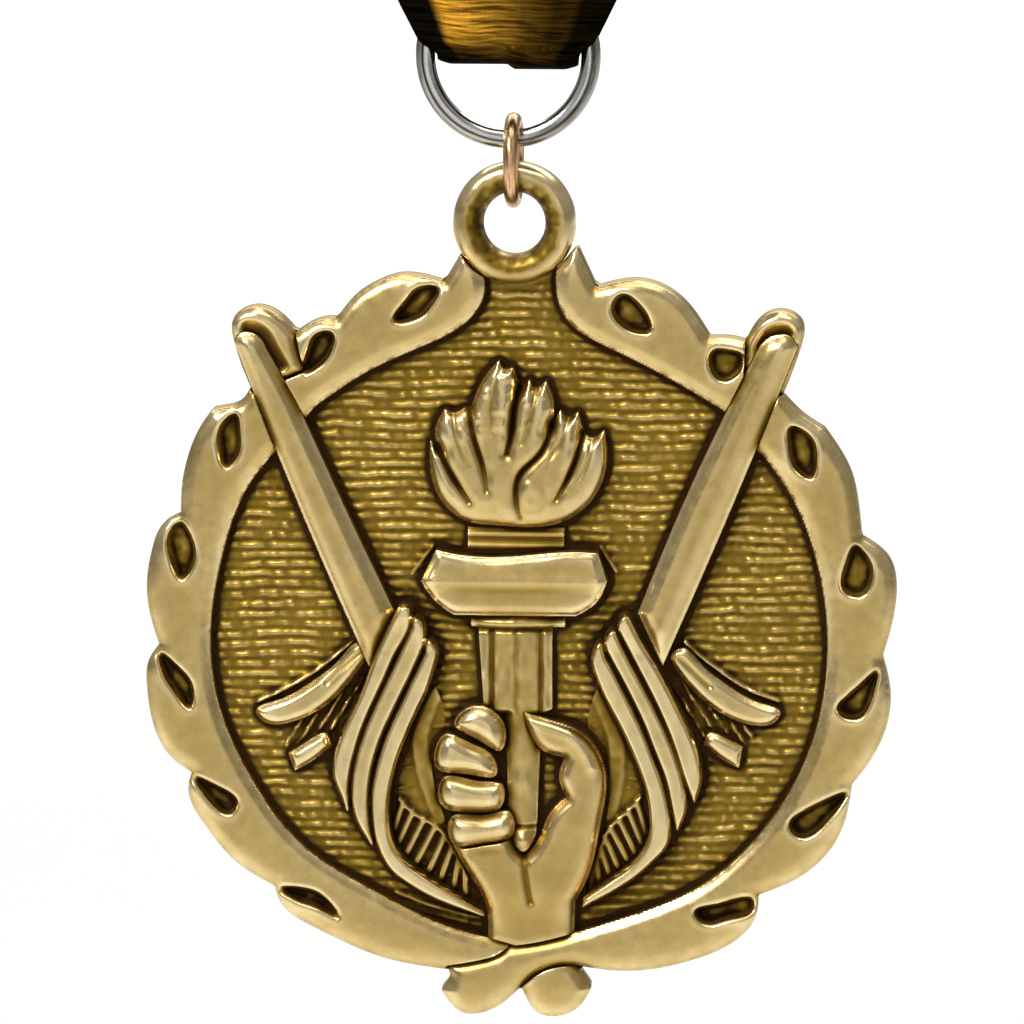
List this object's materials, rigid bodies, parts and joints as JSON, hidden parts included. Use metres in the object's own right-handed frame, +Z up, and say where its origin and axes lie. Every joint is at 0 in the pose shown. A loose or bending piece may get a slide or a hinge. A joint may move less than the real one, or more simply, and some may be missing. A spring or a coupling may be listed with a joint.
{
  "type": "award medal on neck ribbon",
  "caption": "Cast medal with leafy wreath, crossed sticks and hand-held torch, hung by linked rings on a folded neck ribbon.",
  "frame": {"origin": "inside of the open bend at the top of the ribbon hank, where a peg carries everything", "axes": "+Z up along the hanging medal, +X to the viewer's right, the medal's relief faces -Y"},
  "size_m": [0.0637, 0.014, 0.1474],
  "materials": {
    "cast_metal": "antique gold plate, satin, dark in the recesses",
    "copper_wire": "copper-gold plated wire, polished",
    "plated_wire": "nickel plated wire, polished",
    "satin_ribbon": "black and gold satin weave",
    "thread": "sewing thread",
    "tie_band": "narrow woven band"
  },
  "bodies": {
    "ribbon": {"ribbon_fold": "satin_ribbon", "ribbon_front_leg": "satin_ribbon", "ribbon_back_leg": "satin_ribbon", "ribbon_hank": "satin_ribbon", "ribbon_lap": "satin_ribbon", "join_stitching": "thread", "hank_band": "tie_band"},
    "ribbon_ring": {"ribbon_ring": "plated_wire"},
    "jump_ring": {"jump_ring": "copper_wire"},
    "medal": {"medal_blank": "cast_metal", "hanger_loop": "cast_metal", "wreath_left_upper": "cast_metal", "wreath_left_lower": "cast_metal", "wreath_left_stem": "cast_metal", "wreath_right_upper": "cast_metal", "wreath_right_lower": "cast_metal", "stick_knob_left": "cast_metal", "stick_shaft_left": "cast_metal", "stick_bands_left": "cast_metal", "stick_toe_upper_left": "cast_metal", "stick_toe_lower_left": "cast_metal", "stick_ladder_left": "cast_metal", "stick_knob_right": "cast_metal", "stick_shaft_right": "cast_metal", "stick_bands_right": "cast_metal", "stick_toe_upper_right": "cast_metal", "stick_toe_lower_right": "cast_metal", "stick_ladder_right": "cast_metal", "torch_flame": "cast_metal", "torch_neck": "cast_metal", "torch_collar": "cast_metal", "torch_handle": "cast_metal", "hand_palm": "cast_metal", "hand_finger_1": "cast_metal", "hand_finger_2": "cast_metal", "hand_finger_3": "cast_metal", "hand_finger_4": "cast_metal"}
  },
  "joints": [
    {"name": "ribbon_ring_swing", "type": "hinge", "parent": "ribbon", "child": "ribbon_ring", "pos_m": [-0.00045, -0.00063, -0.06438], "axis": [1, 0, 0], "range_deg": [-8, 8]},
    {"name": "jump_ring_swing", "type": "hinge", "parent": "ribbon_ring", "child": "jump_ring", "pos_m": [0, -0.00063, -0.07136], "axis": [1, 0, 0], "range_deg": [-60, 60]},
    {"name": "medal_swing", "type": "hinge", "parent": "jump_ring", "child": "medal", "pos_m": [0, -0.00063, -0.07655], "axis": [0, 1, 0], "range_deg": [-45, 45]}
  ]
}
